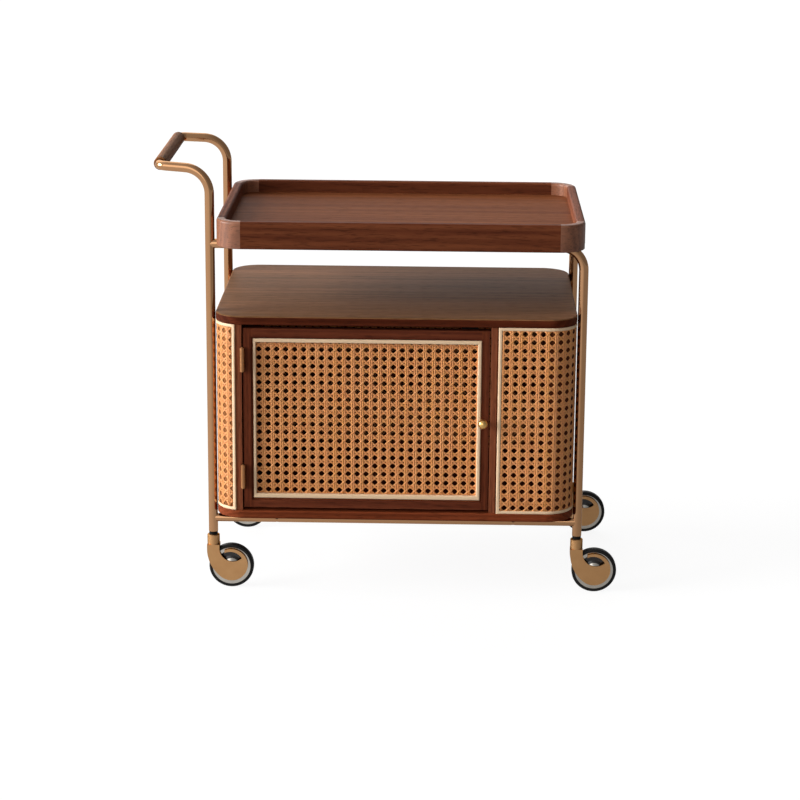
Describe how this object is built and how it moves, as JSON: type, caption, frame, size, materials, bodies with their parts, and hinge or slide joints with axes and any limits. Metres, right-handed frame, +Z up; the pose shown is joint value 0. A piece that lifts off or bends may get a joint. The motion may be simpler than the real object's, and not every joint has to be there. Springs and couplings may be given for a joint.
{
  "type": "serving cart",
  "caption": "Rolling serving cart with a rounded walnut and cane cabinet, a hinged door, a lift-off tray above it, a bent tube frame with a wooden push grip, and hooded casters.",
  "frame": {"origin": "on the floor under the middle of the cart's bounding box", "axes": "+X along the cart, away from the push handle; +Y from the door side to the back; +Z up"},
  "size_m": [0.7397, 0.4198, 0.6962],
  "materials": {
    "bronze_tube": "polished antique bronze plating",
    "hood_bronze": "satin light bronze",
    "hinge_bronze": "satin bronze",
    "knob_brass": "polished brass",
    "rim_chrome": "bright plated",
    "steel": "plain zinc-plated",
    "tyre": "matte black rubber",
    "pad_rubber": "matte",
    "black_plastic": "matte black",
    "walnut_board": "oiled walnut, satin",
    "walnut_frame": "red-brown oiled walnut, satin",
    "walnut_core": "dark stained ply",
    "walnut_grip": "turned walnut, satin",
    "cane": "natural woven cane",
    "bead": "pale rattan, satin"
  },
  "bodies": {
    "cart": {"handle_post_front": "bronze_tube", "handle_post_rear": "bronze_tube", "post_hoop_front": "bronze_tube", "post_hoop_rear": "bronze_tube", "lower_rail_front": "bronze_tube", "lower_rail_rear": "bronze_tube", "cross_tubes": "bronze_tube", "grip_rod": "steel", "handle_grip": "walnut_grip", "caster_stems": "steel", "caster_collars": "black_plastic", "rubber_pads": "pad_rubber", "top_board": "walnut_board", "bottom_board": "walnut_board", "stile_left": "walnut_frame", "stile_centre": "walnut_frame", "rear_stiles": "walnut_frame", "back_panel": "walnut_board", "end_panel_left": "walnut_core", "end_panel_right": "walnut_core", "end_cane_left": "cane", "end_cane_right": "cane", "end_beads": "bead", "back_cane": "cane", "cabinet_screws": "steel", "hinge_leaves_fixed": "hinge_bronze", "hinge_pins": "hinge_bronze", "magnetic_catch": "black_plastic"},
    "door": {"door_stile_hinge": "walnut_frame", "door_stile_knob": "walnut_frame", "door_rail_top": "walnut_frame", "door_rail_bottom": "walnut_frame", "door_cane": "cane", "door_bead": "bead", "door_knob": "knob_brass", "door_screws": "steel", "hinge_leaves_door": "hinge_bronze", "catch_plate": "steel"},
    "tray": {"tray_floor": "walnut_board", "tray_rim_front": "walnut_frame", "tray_rim_rear": "walnut_frame", "tray_rim_left": "walnut_frame", "tray_rim_right": "walnut_frame", "tray_corners": "walnut_frame"},
    "swivel_front_left": {"caster_hood_front_left": "hood_bronze", "caster_axle_front_left": "steel"},
    "wheel_front_left": {"caster_rim_front_left": "rim_chrome", "caster_tyre_front_left": "tyre"},
    "swivel_front_right": {"caster_hood_front_right": "hood_bronze", "caster_axle_front_right": "steel"},
    "wheel_front_right": {"caster_rim_front_right": "rim_chrome", "caster_tyre_front_right": "tyre"},
    "swivel_rear_left": {"caster_hood_rear_left": "hood_bronze", "caster_axle_rear_left": "steel"},
    "wheel_rear_left": {"caster_rim_rear_left": "rim_chrome", "caster_tyre_rear_left": "tyre"},
    "swivel_rear_right": {"caster_hood_rear_right": "hood_bronze", "caster_axle_rear_right": "steel"},
    "wheel_rear_right": {"caster_rim_rear_right": "rim_chrome", "caster_tyre_rear_right": "tyre"}
  },
  "joints": [
    {"name": "door_hinge", "type": "hinge", "parent": "cart", "child": "door", "pos_m": [-0.2284, -0.1906, 0.293], "axis": [0, 0, -1], "range_deg": [0, 110]},
    {"name": "tray_lift", "type": "slide", "parent": "cart", "child": "tray", "axis": [0, 0, 1], "range_m": [0, 0.12]},
    {"name": "swivel_front_left", "type": "hinge", "parent": "cart", "child": "swivel_front_left", "pos_m": [-0.28075, -0.1471, 0.088], "axis": [0, 0, 1], "continuous": true},
    {"name": "roll_front_left", "type": "hinge", "parent": "swivel_front_left", "child": "wheel_front_left", "pos_m": [-0.25175, -0.1471, 0.036], "axis": [0, 1, 0], "continuous": true},
    {"name": "swivel_front_right", "type": "hinge", "parent": "cart", "child": "swivel_front_right", "pos_m": [0.30485, -0.1471, 0.088], "axis": [0, 0, 1], "continuous": true},
    {"name": "roll_front_right", "type": "hinge", "parent": "swivel_front_right", "child": "wheel_front_right", "pos_m": [0.33385, -0.1471, 0.036], "axis": [0, 1, 0], "continuous": true},
    {"name": "swivel_rear_left", "type": "hinge", "parent": "cart", "child": "swivel_rear_left", "pos_m": [-0.28075, 0.1669, 0.088], "axis": [0, 0, 1], "continuous": true},
    {"name": "roll_rear_left", "type": "hinge", "parent": "swivel_rear_left", "child": "wheel_rear_left", "pos_m": [-0.25175, 0.1669, 0.036], "axis": [0, 1, 0], "continuous": true},
    {"name": "swivel_rear_right", "type": "hinge", "parent": "cart", "child": "swivel_rear_right", "pos_m": [0.30485, 0.1669, 0.088], "axis": [0, 0, 1], "continuous": true},
    {"name": "roll_rear_right", "type": "hinge", "parent": "swivel_rear_right", "child": "wheel_rear_right", "pos_m": [0.33385, 0.1669, 0.036], "axis": [0, 1, 0], "continuous": true}
  ]
}
